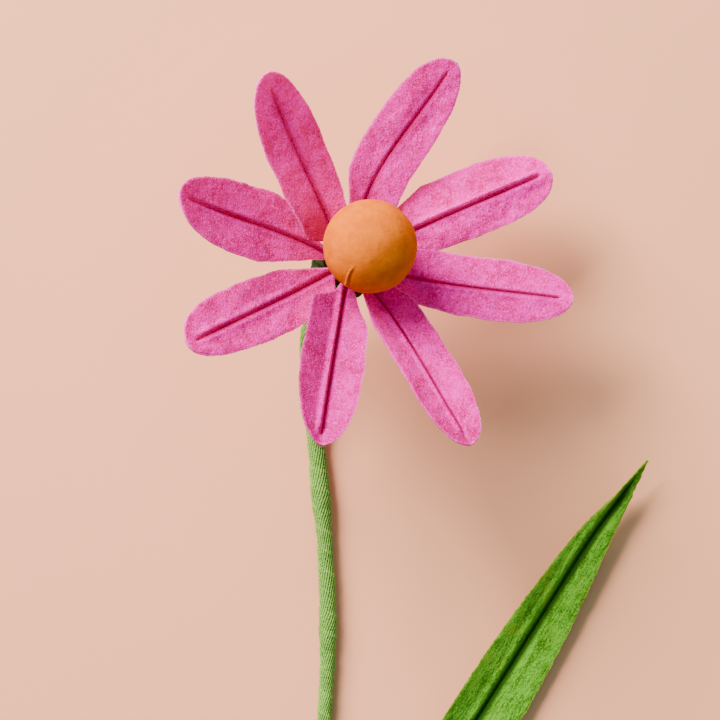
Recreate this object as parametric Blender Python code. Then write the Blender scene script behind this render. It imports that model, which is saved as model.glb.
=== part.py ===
"""A paper flower lying on a table: folded petals round a covered ball, on a wound wire stem with one leaf.

The flower lies as it comes to rest. +Z is up, +Y runs along the stem to the head, and the table is at Z 0.
Every petal and the leaf is one sheet, pinched along its middle round a wire. The petal wires bend back into
the hub, where the paper tape that covers the stem holds them round the stem wire. Sizes are in metres.
"""

import math

import bmesh
import bpy
from mathutils import Matrix, Vector

MM = 0.001

# Driving dimensions.
SHEET = 0.6 * MM  # petals and leaf: fibrous paper, two plies pasted together
GAP = 0.3 * MM  # between neighbours that touch
PETAL_WIRE = 0.25 * MM  # radii of the three wires
LEAF_WIRE = 0.3 * MM
STEM_WIRE = 1.0 * MM
STEM_RADIUS = 1.8 * MM  # over the wound tape
HUB_RADIUS = 7.0 * MM
BALL_RADIUS = 10 * MM
COVER_WALL = 0.6 * MM
BALL_HEIGHT = 12 * MM  # of the ball's centre above the point where the petals' lines meet
STEM_SIDES = 10

# The pinch that holds a wire: a slot in the front of the sheet, wider at its foot.
SLOT_HALF = 0.3 * MM
CHANNEL_RADIUS = 0.55 * MM
CHANNEL_DEPTH = 1.0 * MM  # of the wire's centre under the front of the sheet
CHANNEL_FADE = 2.5 * MM
CHANNEL_END = 2.0 * MM  # from the sheet's tip
RIB_HALF = CHANNEL_RADIUS + SHEET

# The head: where the petals' lines meet, and how the flower's axis leans from upright.
HEAD_POINT = Vector((-2.2, 21.0, 28.0)) * MM
LEAN = math.radians(26.5)
LEAN_TOWARDS = math.radians(36)
PETAL_START = 4.0 * MM  # from the flower's axis
BASE_SLOPE = math.tan(math.radians(14.5))
PETAL_SHARE_OF_WIDEST = 0.74  # of the petal's reach
PETAL_ROWS = 13

# Each petal: heading round the axis, rise of its tip, length, half width, fold of its halves, twist, and how
# far its line bows to its left near the ball (degrees, mm).
PETALS = [
    ("petal_1", 64.6, 20.5, 49.5, 7.0, 16, 0, 3.3),
    ("petal_2", 24.6, 17.0, 49.1, 7.6, 12, -4, 0.6),
    ("petal_3", -12.0, 17.0, 49.0, 6.9, 12, 4, -0.9),
    ("petal_4", -64.6, 15.5, 49.1, 6.7, 20, -8, 1.5),
    ("petal_5", -107.5, 16.0, 48.2, 6.8, 22, 6, 0.0),
    ("petal_6", -150.0, 14.5, 49.6, 6.9, 18, -4, 0.3),
    ("petal_7", 172.2, 23.0, 48.6, 7.9, 16, 4, -1.3),
    ("petal_8", 127.6, 28.0, 47.2, 7.0, 20, -6, -0.9),
]

# The stem's line on the table, from where it has bent away from the hub to its cut end (mm).
STEM_AT_LEAF = (-8.0, -150.0, 2.65)
STEM_POINTS = [
    (-8.7, 13.8, 14.4),
    (-11.0, 8.0, 10.9),
    (-11.7, 2.0, 7.7),
    (-11.1, -6.0, 4.6),
    (-10.3, -14.0, 2.6),
    (-9.7, -21.0, 1.8),
    (-8.8, -31.0, 1.8),
    (-8.0, -40.0, 1.8),
    (-7.4, -53.0, 1.8),
    (-7.3, -66.0, 1.8),
    (-7.9, -80.0, 1.8),
    (-8.4, -100.0, 1.8),
    (-8.3, -120.0, 2.1),
    (-8.0, -136.0, 2.65),
    STEM_AT_LEAF,
    (-7.2, -164.0, 2.0),
    (-5.0, -180.0, 1.8),
    (-1.0, -205.0, 1.8),
    (2.5, -220.0, 1.8),
    (6.0, -235.0, 1.8),
]
STEM_TOP = 9 * MM  # of the wire's end above the meeting point, inside the ball
STEM_INSIDE = [STEM_TOP, 4 * MM]  # the bare wire's line above the meeting point
HUB_LINE = [0.0, -3 * MM, -6 * MM, -9 * MM]  # the straight stretch that the petal wires lie along
WRAP_START = 1.7 * MM  # of the tape, behind the meeting point
HUB_FULL = 4 * MM  # where the hub is thickest, and where it starts to narrow to the stem
HUB_SHOULDER = 1.1 * MM
HUB_TAPER = 18 * MM
HUB_BORE = 2.6 * MM  # radius of the hollow that holds the petal wires
BORE_NARROWS = 8.8 * MM
BORE_TAPER = 3.2 * MM
WIRE_TURN = 1.9 * MM  # of a petal wire's straight end from the flower's axis
WIRE_FOOT, WIRE_BEND = 8.3 * MM, 4.5 * MM  # of the petal wires' ends and bends behind the meeting point
BALL_NECK = 1.95 * MM
BALL_NECK_END = 0.9 * MM  # above the meeting point

# The leaf: the line along the front of its fold, from its foot beside the stem to its tip (mm).
LEAF_POINTS = [
    (-4.65, -148.0, 3.7),
    (-4.65, -143.0, 3.7),
    (-4.65, -137.0, 3.7),
    (-2.4, -126.0, 2.7),
    (5.0, -113.0, 2.2),
    (14.8, -98.5, 2.2),
    (26.4, -81.1, 2.2),
    (40.3, -59.0, 2.3),
    (52.5, -39.5, 4.1),
    (64.4, -22.6, 7.0),
]
LEAF_LEFT, LEAF_RIGHT = 7.0 * MM, 7.6 * MM  # widths of its halves
LEAF_FOLD = 20
LEAF_BARE = 0.1  # share of the leaf's line that is only the pinched foot
LEAF_STEPS = 26
BINDING_FROM, BINDING_TO = -147.0 * MM, -138.5 * MM
BINDING_WALL = 0.5 * MM


def clear_scene():
    for obj in list(bpy.data.objects):
        bpy.data.objects.remove(obj)


def material(name, colour, roughness, metallic=0.0):
    made = bpy.data.materials.new(name)
    made.use_nodes = True
    shader = made.node_tree.nodes["Principled BSDF"]
    shader.inputs["Base Color"].default_value = (*colour, 1.0)
    shader.inputs["Roughness"].default_value = roughness
    shader.inputs["Metallic"].default_value = metallic
    return made


def add_object(name, data, finish, parent):
    data.materials.append(finish)
    obj = bpy.data.objects.new(name, data)
    bpy.context.scene.collection.objects.link(obj)
    obj.parent = parent
    return obj


def empty(name, parent=None):
    obj = bpy.data.objects.new(name, None)
    bpy.context.scene.collection.objects.link(obj)
    obj.parent = parent
    return obj


def mesh_from(bm, name):
    """The finished mesh of a closed bmesh, with its faces outwards and its round parts shaded smooth."""
    bmesh.ops.remove_doubles(bm, verts=bm.verts, dist=0.0005 * MM)
    bmesh.ops.recalc_face_normals(bm, faces=bm.faces)
    mesh = bpy.data.meshes.new(name)
    bm.to_mesh(mesh)
    bm.free()
    mesh.shade_smooth()
    mesh.set_sharp_from_angle(angle=math.radians(50))
    return mesh


def smooth_path(points, steps):
    """Points on a Catmull-Rom curve through the given ones, with this many steps between two of them."""
    ends = [points[0] * 2 - points[1], *points, points[-1] * 2 - points[-2]]
    found = []
    for a, b, c, d in zip(ends, ends[1:], ends[2:], ends[3:]):
        for i in range(steps):
            t = i / steps
            bend = (2 * a - 5 * b + 4 * c - d) * t * t + (3 * b - a - 3 * c + d) * t**3
            found.append((2 * b + (c - a) * t + bend) / 2)
    return [*found, points[-1]]


def resampled(points, count):
    """The same line with this many points, evenly spaced along it."""
    reach = [0.0]
    for a, b in zip(points, points[1:]):
        reach.append(reach[-1] + (b - a).length)
    found = []
    at = 0
    for i in range(count):
        wanted = reach[-1] * i / (count - 1)
        while at < len(points) - 2 and reach[at + 1] < wanted:
            at += 1
        share = (wanted - reach[at]) / (reach[at + 1] - reach[at])
        found.append(points[at].lerp(points[at + 1], share))
    return found


def smooth_step(x):
    x = min(1.0, max(0.0, x))
    return x * x * (3 - 2 * x)


def tube(name, points, radius, finish, parent, sides=3):
    """A solid wire along a line of points."""
    curve = bpy.data.curves.new(name, "CURVE")
    curve.dimensions = "3D"
    curve.bevel_depth = radius
    curve.bevel_resolution = sides - 2
    curve.use_fill_caps = True
    spline = curve.splines.new("POLY")
    spline.points.add(len(points) - 1)
    for spot, point in zip(spline.points, points):
        spot.co = (*point, 1.0)
    return add_object(name, curve, finish, parent)


def frames_along(points):
    """(point, side, up) at each point, with the side turned as little as possible from one to the next."""
    found = []
    side = Vector((1, 0, 0))
    for i, point in enumerate(points):
        along = (points[min(i + 1, len(points) - 1)] - points[max(i - 1, 0)]).normalized()
        side = (side - along * side.dot(along)).normalized()
        found.append((point, side, along.cross(side)))
    return found


def lofted_ring(bm, rings):
    """A closed hollow body through rings of points: the outer ones in order, then the inner ones back."""
    sides = len(rings[0])
    circle = bmesh.ops.create_circle(bm, cap_ends=False, radius=1.0, segments=sides)["verts"]
    for vert, spot in zip(circle, rings[0]):
        vert.co = spot
    first = [e for e in bm.edges]
    edges = first
    order = circle
    for ring in rings[1:]:
        made = bmesh.ops.extrude_edge_only(bm, edges=edges)["geom"]
        fresh = {v for v in made if isinstance(v, bmesh.types.BMVert)}
        edges = [e for e in made if isinstance(e, bmesh.types.BMEdge) and set(e.verts) <= fresh]
        above = {}
        for vert in order:
            above[vert] = next(e.other_vert(vert) for e in vert.link_edges if e.other_vert(vert) in fresh)
        order = [above[vert] for vert in order]
        for vert, spot in zip(order, ring):
            vert.co = spot
    bmesh.ops.bridge_loops(bm, edges=first + edges)


def ring_at(frame, radius, sides):
    point, side, up = frame
    turns = [2 * math.pi * (i + 0.5) / sides for i in range(sides)]
    return [point + side * (radius * math.cos(t)) + up * (radius * math.sin(t)) for t in turns]


def pinched_section(left, right, fold, pinch):
    """(across, up) points of the sheet's front, from its left edge to its right edge.

    left and right are the halves' widths, fold lifts them, and pinch is 1 where the slot is full depth."""
    slope = math.tan(fold)
    half_bottom = CHANNEL_RADIUS * math.sin(math.radians(50))
    low = CHANNEL_DEPTH + CHANNEL_RADIUS * math.cos(math.radians(50))
    inner = [
        (SLOT_HALF, 0.0),
        (SLOT_HALF * 0.7 * (1 - pinch) + CHANNEL_RADIUS * pinch, -CHANNEL_DEPTH * pinch),
        (SLOT_HALF * 0.35 * (1 - pinch) + half_bottom * pinch, -low * pinch),
    ]
    halves = []
    for width in (left, right):
        outer = [(x, (x - SLOT_HALF) * slope) for x in (width, (width + SLOT_HALF) / 2)]
        halves.append(outer + inner)
    middle = (0.0, -(CHANNEL_DEPTH + CHANNEL_RADIUS) * pinch)
    return [(x, y) for x, y in halves[0]] + [middle] + [(-x, y) for x, y in reversed(halves[1])]


def folded_sheet(name, stations, finish, parent):
    """One sheet, pinched along its middle. Each station is (point, side, up, left, right, fold, pinch)."""
    columns = len(pinched_section(1.0, 1.0, 0.0, 1.0))
    bm = bmesh.new()
    grid = bmesh.ops.create_grid(bm, x_segments=columns - 1, y_segments=len(stations) - 1, size=1.0)
    cells = sorted(grid["verts"], key=lambda v: (round(v.co.y, 4), -round(v.co.x, 4)))
    for row, (point, side, up, left, right, fold, pinch) in enumerate(stations):
        section = pinched_section(left, right, fold, pinch)
        for column, (across, height) in enumerate(section):
            cells[row * columns + column].co = point + side * across + up * height
    bm.normal_update()
    upward = sum((f.normal.dot(stations[0][2]) for f in bm.faces), 0.0)
    if upward < 0:
        bmesh.ops.reverse_faces(bm, faces=bm.faces)
    mesh = bpy.data.meshes.new(name)
    bm.to_mesh(mesh)
    bm.free()
    mesh.shade_smooth()
    mesh.set_sharp_from_angle(angle=math.radians(40))
    obj = add_object(name, mesh, finish, parent)
    wall = obj.modifiers.new("paper", "SOLIDIFY")
    wall.thickness = SHEET
    wall.offset = -1
    wall.use_even_offset = True
    return obj


def petal_line(reach, rise):
    """The height and slope of a petal's line, as functions of the distance from the flower's axis."""
    curl = (math.tan(rise) - BASE_SLOPE) / reach
    return lambda r: r * (BASE_SLOPE + curl * r), lambda r: BASE_SLOPE + 2 * curl * r


def sideways(r, reach, bow):
    """How far a petal's line stands to its left: most at a third of its length and nothing at its ends."""
    share = min(1.0, (r - PETAL_START) / (reach - PETAL_START))
    return bow * 27 / 4 * share * (1 - share) ** 2


def petal_half_width(share, widest):
    """Narrow at the hub, widest near three quarters of the reach, with a round tip."""
    start = 0.08
    if share < PETAL_SHARE_OF_WIDEST:
        grown = math.sin(math.pi / 2 * (share - start) / (PETAL_SHARE_OF_WIDEST - start))
        return widest * (0.17 + 0.83 * max(0.0, grown) ** 0.8)
    past = (share - PETAL_SHARE_OF_WIDEST) / (1 - PETAL_SHARE_OF_WIDEST)
    return widest * max(0.06, (1 - min(1.0, past) ** 2.2)) ** (1 / 2.2)


def petal_stations(row, room_left, room_right):
    """Where a petal's cross-sections lie, with the flower's axis as Z and the petal running out along X."""
    _, _, rise, length, half_width, fold, twist, bow = row
    reach = length * MM * math.cos(math.radians(rise))
    height, slope = petal_line(reach, math.radians(rise))
    pinch_end = reach - CHANNEL_END
    found = []
    for i in range(PETAL_ROWS):
        r = PETAL_START + (reach - PETAL_START) * math.sin(math.pi / 2 * i / (PETAL_ROWS - 1))
        offset = sideways(r, reach, bow * MM)
        ahead = sideways(r + MM, reach, bow * MM)
        along = Vector((1.0, (ahead - offset) / MM, slope(r))).normalized()
        turn = Matrix.Rotation(math.radians(twist) * smooth_step(r / reach * 2 - 0.4), 3, along)
        side = turn @ Vector((0.0, 0.0, 1.0)).cross(along).normalized()
        opened = smooth_step((r - PETAL_START) / (reach * 0.5))
        folded = math.radians(34 + (fold - 34) * opened)
        natural = petal_half_width(r / reach, half_width * MM)
        rooms = (r * math.tan(room_left) - offset, r * math.tan(room_right) + offset)
        widths = [min(natural, room - GAP - SHEET) for room in rooms]
        widths = [max(width, RIB_HALF * 0.9) for width in widths]
        pinch = 1 - smooth_step((r - pinch_end + CHANNEL_FADE) / CHANNEL_FADE)
        found.append((Vector((r, offset, height(r))), side, along.cross(side), *widths, folded, pinch))
    return found


def petal_wire_points(stations, height):
    """Along the foot of the petal's pinch, then inwards and back into the hub."""
    held = [s for s in stations if s[6] > 0.99]
    inside = [point - up * CHANNEL_DEPTH for point, _, up, *_ in held]
    rounding = MM
    level = height(WIRE_TURN) - CHANNEL_DEPTH
    out = WIRE_TURN + rounding
    points = [
        Vector((WIRE_TURN, 0.0, -WIRE_FOOT)),
        Vector((WIRE_TURN, 0.0, -WIRE_BEND)),
        Vector((WIRE_TURN, 0.0, level - rounding)),
        Vector((WIRE_TURN + rounding / 4, 0.0, level - rounding / 4)),
        Vector((out, 0.0, height(out) - CHANNEL_DEPTH)),
    ]
    return points + inside


def make_petals(head, paper, wire):
    headings = [row[1] for row in PETALS]
    for i, row in enumerate(PETALS):
        gap_left = (headings[i - 1] - headings[i]) % 360
        gap_right = (headings[i] - headings[(i + 1) % len(PETALS)]) % 360
        stations = petal_stations(row, math.radians(gap_left / 2), math.radians(gap_right / 2))
        petal = folded_sheet(row[0], stations, paper, head)
        petal.rotation_euler.z = math.radians(row[1])
        reach = row[3] * MM * math.cos(math.radians(row[2]))
        height, _ = petal_line(reach, math.radians(row[2]))
        points = petal_wire_points(stations, height)
        core = tube(row[0].replace("petal", "petal_wire"), points, PETAL_WIRE, wire, head)
        core.rotation_euler.z = math.radians(row[1])


def turned(name, profile, steps, finish, parent):
    """A body turned about the flower's axis from a profile of (radius, height) points."""
    bm = bmesh.new()
    verts = [bm.verts.new((r, 0.0, z)) for r, z in profile]
    edges = [bm.edges.new(pair) for pair in zip(verts, verts[1:])]
    bmesh.ops.spin(
        bm, geom=verts + edges, cent=(0, 0, 0), axis=(0, 0, 1), angle=2 * math.pi, steps=steps, use_merge=True
    )
    return add_object(name, mesh_from(bm, name), finish, parent)


def arc(radius, start, end, steps):
    """(radius, height) points of a ball's section; angles are from its lowest point, in degrees."""
    turns = [math.radians(start + (end - start) * i / steps) for i in range(steps + 1)]
    return [(radius * math.sin(t), BALL_HEIGHT - radius * math.cos(t)) for t in turns]


def make_ball_core(head, cotton):
    radius = BALL_RADIUS - COVER_WALL - GAP
    hole = STEM_WIRE + GAP
    hole_angle = math.degrees(math.asin(hole / radius))
    hole_end = STEM_TOP + GAP
    outside = arc(radius, hole_angle, 180, 11)
    outside[-1] = (0.0, outside[-1][1])
    turned("ball_core", [(0.0, hole_end), (hole, hole_end), *outside], 20, cotton, head)


def make_ball_cover(head, cloth):
    """The covering, gathered into a short neck round the stem wire behind the ball."""
    bore = STEM_WIRE + GAP
    inner = BALL_RADIUS - COVER_WALL
    outside = arc(BALL_RADIUS, math.degrees(math.asin(BALL_NECK / BALL_RADIUS)), 180, 14)
    inside = arc(inner, math.degrees(math.asin(bore / inner)), 180, 12)
    outside[-1] = (0.0, outside[-1][1])
    inside[-1] = (0.0, inside[-1][1])
    profile = [*reversed(outside), (BALL_NECK, BALL_NECK_END), (bore, BALL_NECK_END), *inside]
    turned("ball_cover", profile, 28, cloth, head)


def hub_radius(behind):
    """The outer radius of the wound tape, by the distance along the stem behind the petals."""
    if behind < HUB_FULL:
        return HUB_RADIUS - HUB_SHOULDER * smooth_step((HUB_FULL - behind) / (HUB_FULL - WRAP_START))
    narrowed = smooth_step((behind - HUB_FULL) / HUB_TAPER) ** 0.8
    return HUB_RADIUS + (STEM_RADIUS - HUB_RADIUS) * narrowed


def hub_bore(behind):
    """The radius of the hollow in the tape: wide where the petal wires are, then just over the stem wire."""
    tight = STEM_WIRE + GAP
    return HUB_BORE + (tight - HUB_BORE) * smooth_step((behind - BORE_NARROWS) / BORE_TAPER)


def make_stem(root, axis, tape, wire):
    """The wire runs from inside the ball, through the hub, down to the table and along it, under the tape."""
    inside = [HEAD_POINT + axis * d for d in STEM_INSIDE]
    hub = [HEAD_POINT + axis * d for d in HUB_LINE]
    line = smooth_path(hub + [Vector(p) * MM for p in STEM_POINTS], 6)
    tube("stem_wire", resampled(inside + line, 90), STEM_WIRE, wire, root)
    behind = [0.0]
    for a, b in zip(line, line[1:]):
        behind.append(behind[-1] + (b - a).length)
    covered = [(p, d) for p, d in zip(line, behind) if d > WRAP_START]
    near = [spot for spot in covered if spot[1] < 1.5 * HUB_TAPER]
    start = (HEAD_POINT - axis * WRAP_START, WRAP_START)
    kept = [start, *near[::2], *covered[len(near) : -1 : 3], covered[-1]]
    frames = frames_along([p for p, _ in kept])
    outer = [ring_at(f, hub_radius(d), STEM_SIDES) for f, (_, d) in zip(frames, kept)]
    inner = [ring_at(f, hub_bore(d), STEM_SIDES) for f, (_, d) in zip(frames, kept)]
    bm = bmesh.new()
    lofted_ring(bm, outer + inner[::-1])
    add_object("stem_wrap", mesh_from(bm, "stem_wrap"), tape, root)


def leaf_half_width(share, widest):
    """Long and slender: the pinched foot, widest at the middle, drawn out to a point."""
    blade = (share - LEAF_BARE) / (1 - LEAF_BARE)
    if blade <= 0:
        return RIB_HALF * 0.9
    return max(RIB_HALF * 0.9 * (1 - blade), widest * math.sin(math.pi * blade**0.9) ** 0.85, 0.5 * MM)


def make_leaf(root, paper, wire):
    line = resampled(smooth_path([Vector(p) * MM for p in LEAF_POINTS], 8), LEAF_STEPS)
    length = sum((b - a).length for a, b in zip(line, line[1:]))
    stations = []
    for i, point in enumerate(line):
        share = i / (len(line) - 1)
        along = (line[min(i + 1, len(line) - 1)] - line[max(i - 1, 0)]).normalized()
        side = Vector((0, 0, 1)).cross(along).normalized()
        widths = [leaf_half_width(share, widest) for widest in (LEAF_LEFT, LEAF_RIGHT)]
        left_over = length * (1 - share)
        pinch = 1 - smooth_step(1 - (left_over - 5 * MM) / (6 * MM))
        fold = math.radians(LEAF_FOLD)
        stations.append((point, side, along.cross(side), *widths, fold, pinch))
    folded_sheet("leaf", stations, paper, root)
    held = [s for s in stations if s[6] > 0.99]
    tube("leaf_wire", [p - up * CHANNEL_DEPTH for p, _, up, *_ in held], LEAF_WIRE, wire, root)


def make_binding(root, tape):
    """A few turns of tape round the stem and the leaf's foot: a flat-sided ring, drawn out along the stem."""
    foot = Vector(LEAF_POINTS[0]) * MM
    stem = Vector(STEM_AT_LEAF) * MM
    inside = STEM_RADIUS + GAP

    def outline(radius, y):
        turns = [math.pi / 2 + math.pi * i / 7 for i in range(8)]
        left = [Vector((stem.x + radius * math.cos(t), y, stem.z + radius * math.sin(t))) for t in turns]
        right = [Vector((foot.x - radius * math.cos(t), y, stem.z - radius * math.sin(t))) for t in turns]
        return left + right

    outer = [outline(inside + BINDING_WALL, y) for y in (BINDING_FROM, BINDING_TO)]
    inner = [outline(inside, y) for y in (BINDING_TO, BINDING_FROM)]
    bm = bmesh.new()
    lofted_ring(bm, outer + inner)
    add_object("leaf_binding", mesh_from(bm, "leaf_binding"), tape, root)


def centre_on_table(root):
    """Moves the whole flower so that its box stands on the origin."""
    bpy.context.view_layer.update()
    graph = bpy.context.evaluated_depsgraph_get()
    corners = []
    for obj in bpy.context.scene.objects:
        if obj.type == "EMPTY":
            continue
        shown = obj.evaluated_get(graph)
        mesh = shown.to_mesh()
        corners += [shown.matrix_world @ v.co for v in mesh.vertices]
        shown.to_mesh_clear()
    low = Vector(min(c[i] for c in corners) for i in range(3))
    high = Vector(max(c[i] for c in corners) for i in range(3))
    root.location = (-(low.x + high.x) / 2, -(low.y + high.y) / 2, -low.z)


def main():
    clear_scene()
    petal_paper = material("petal_paper", (0.80, 0.11, 0.31), 0.85)
    leaf_paper = material("leaf_paper", (0.16, 0.36, 0.03), 0.85)
    stem_tape = material("stem_tape", (0.17, 0.38, 0.07), 0.8)
    ball_cloth = material("ball_paper", (0.87, 0.33, 0.06), 0.7)
    cotton = material("pressed_cotton", (0.85, 0.82, 0.76), 0.95)
    steel = material("steel_wire", (0.55, 0.55, 0.56), 0.35, 1.0)

    root = empty("flower")
    head = empty("head", root)
    head.location = HEAD_POINT
    head.rotation_mode = "AXIS_ANGLE"
    head.rotation_axis_angle = (LEAN, -math.sin(LEAN_TOWARDS), math.cos(LEAN_TOWARDS), 0.0)
    lean = Matrix.Rotation(LEAN, 3, (-math.sin(LEAN_TOWARDS), math.cos(LEAN_TOWARDS), 0.0))
    axis = lean @ Vector((0.0, 0.0, 1.0))

    make_petals(head, petal_paper, steel)
    make_ball_core(head, cotton)
    make_ball_cover(head, ball_cloth)
    make_stem(root, axis, stem_tape, steel)
    make_leaf(root, leaf_paper, steel)
    make_binding(root, stem_tape)
    centre_on_table(root)


main()
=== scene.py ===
# %% [markdown]
# # A paper flower, piece by piece
# The real flower is handmade: eight petals of thick fibrous paper, each pinched along its middle round a
# thin wire, stand round a pressed ball covered in stretched orange paper. Green tape is wound over the
# petal wires and down a thicker stem wire, and one long folded leaf is tied on low down. The hard shapes
# come from the CAD model, which is loaded as a fixed frame. The paper, the tape and the ball's cover are
# made again here in more detail, in exactly the same places.

import math

import bmesh
import bpy
from mathutils import Matrix, Vector, noise


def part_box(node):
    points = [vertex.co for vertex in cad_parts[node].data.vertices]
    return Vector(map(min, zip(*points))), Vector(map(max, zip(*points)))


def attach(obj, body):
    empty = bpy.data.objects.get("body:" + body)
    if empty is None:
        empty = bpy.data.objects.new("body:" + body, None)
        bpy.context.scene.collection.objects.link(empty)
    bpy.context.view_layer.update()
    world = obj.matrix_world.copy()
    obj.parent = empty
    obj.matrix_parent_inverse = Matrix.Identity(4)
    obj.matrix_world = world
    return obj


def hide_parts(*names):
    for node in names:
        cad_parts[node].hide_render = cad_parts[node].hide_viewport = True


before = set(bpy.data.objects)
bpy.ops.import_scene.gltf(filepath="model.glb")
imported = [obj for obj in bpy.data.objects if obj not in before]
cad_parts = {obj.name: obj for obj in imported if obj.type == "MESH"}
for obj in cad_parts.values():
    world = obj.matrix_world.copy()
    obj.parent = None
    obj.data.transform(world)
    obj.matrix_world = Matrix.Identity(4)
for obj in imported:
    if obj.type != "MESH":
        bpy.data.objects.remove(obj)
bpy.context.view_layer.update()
MM = 0.001

# %% [markdown]
# Everything on the flower's head is placed from the middle of its ball and from the way the head leans. The
# ball's middle is read from the frame. The petals' lines meet a little way behind it.

# %% Where the head is
LEAN = math.radians(26.5)
LEAN_TOWARDS = math.radians(36)
BALL_HEIGHT = 12 * MM
BALL_RADIUS = 10 * MM
SHEET = 0.6 * MM
GAP = 0.3 * MM

core_low, core_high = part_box("ball_core")
lean = Matrix.Rotation(LEAN, 3, (-math.sin(LEAN_TOWARDS), math.cos(LEAN_TOWARDS), 0.0))
axis = lean @ Vector((0.0, 0.0, 1.0))
ball_middle = (core_low + core_high) / 2
head_point = ball_middle - axis * BALL_HEIGHT
print("ball's middle in mm:", [round(x / MM, 2) for x in ball_middle])


# %% [markdown]
# Small curves help everywhere: a smooth step eases one value into another, and a Catmull-Rom curve passes
# through every point that it is given, which suits a hand-bent stem.

# %% Easing and smooth lines
def smooth_step(x, low=0.0, high=1.0):
    x = min(1.0, max(0.0, (x - low) / (high - low)))
    return x * x * (3 - 2 * x)


def blend(a, b, share):
    return a + (b - a) * share


def bump(x, middle, spread):
    """A round hill of height 1 over the middle, which has faded out at about twice the spread."""
    return math.exp(-(((x - middle) / spread) ** 2))


def smooth_path(points, steps):
    """Points on a Catmull-Rom curve through the given ones."""
    ends = [points[0] * 2 - points[1], *points, points[-1] * 2 - points[-2]]
    found = []
    for a, b, c, d in zip(ends, ends[1:], ends[2:], ends[3:]):
        for i in range(steps):
            t = i / steps
            bend = (2 * a - 5 * b + 4 * c - d) * t * t + (3 * b - a - 3 * c + d) * t**3
            found.append((2 * b + (c - a) * t + bend) / 2)
    return [*found, points[-1]]


def spaced(points, count):
    """The same line with this many points, evenly spaced."""
    reach = [0.0]
    for a, b in zip(points, points[1:]):
        reach.append(reach[-1] + (b - a).length)
    found, at = [], 0
    for i in range(count):
        wanted = reach[-1] * i / (count - 1)
        while at < len(points) - 2 and reach[at + 1] < wanted:
            at += 1
        found.append(points[at].lerp(points[at + 1], (wanted - reach[at]) / (reach[at + 1] - reach[at])))
    return found


def level_between(table, x):
    """The value at x of a table of (x, value), eased from one entry to the next."""
    if x <= table[0][0]:
        return table[0][1]
    for (x0, v0), (x1, v1) in zip(table, table[1:]):
        if x <= x1:
            return blend(v0, v1, smooth_step(x, x0, x1))
    return table[-1][1]


print("a smooth step a quarter of the way:", smooth_step(0.25))


# %% [markdown]
# A material is a small tree of nodes. Writing its maths with ordinary signs is far easier to read than
# linking nodes by hand, so one class wraps a value in the tree, and one class stands for the material.

# %% Materials as plain arithmetic
class Value:
    """A number, colour or vector in a material's tree. Arithmetic on it adds the Math node."""

    def __init__(self, finish, socket):
        self.finish, self.socket = finish, socket

    def maths(self, operation, *values):
        return self.finish.add("ShaderNodeMath", {"operation": operation}, dict(enumerate(values)))

    def __add__(self, other):
        return self.maths("ADD", self, other)

    def __radd__(self, other):
        return self.maths("ADD", other, self)

    def __sub__(self, other):
        return self.maths("SUBTRACT", self, other)

    def __rsub__(self, other):
        return self.maths("SUBTRACT", other, self)

    def __mul__(self, other):
        return self.maths("MULTIPLY", self, other)

    def __rmul__(self, other):
        return self.maths("MULTIPLY", other, self)


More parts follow.
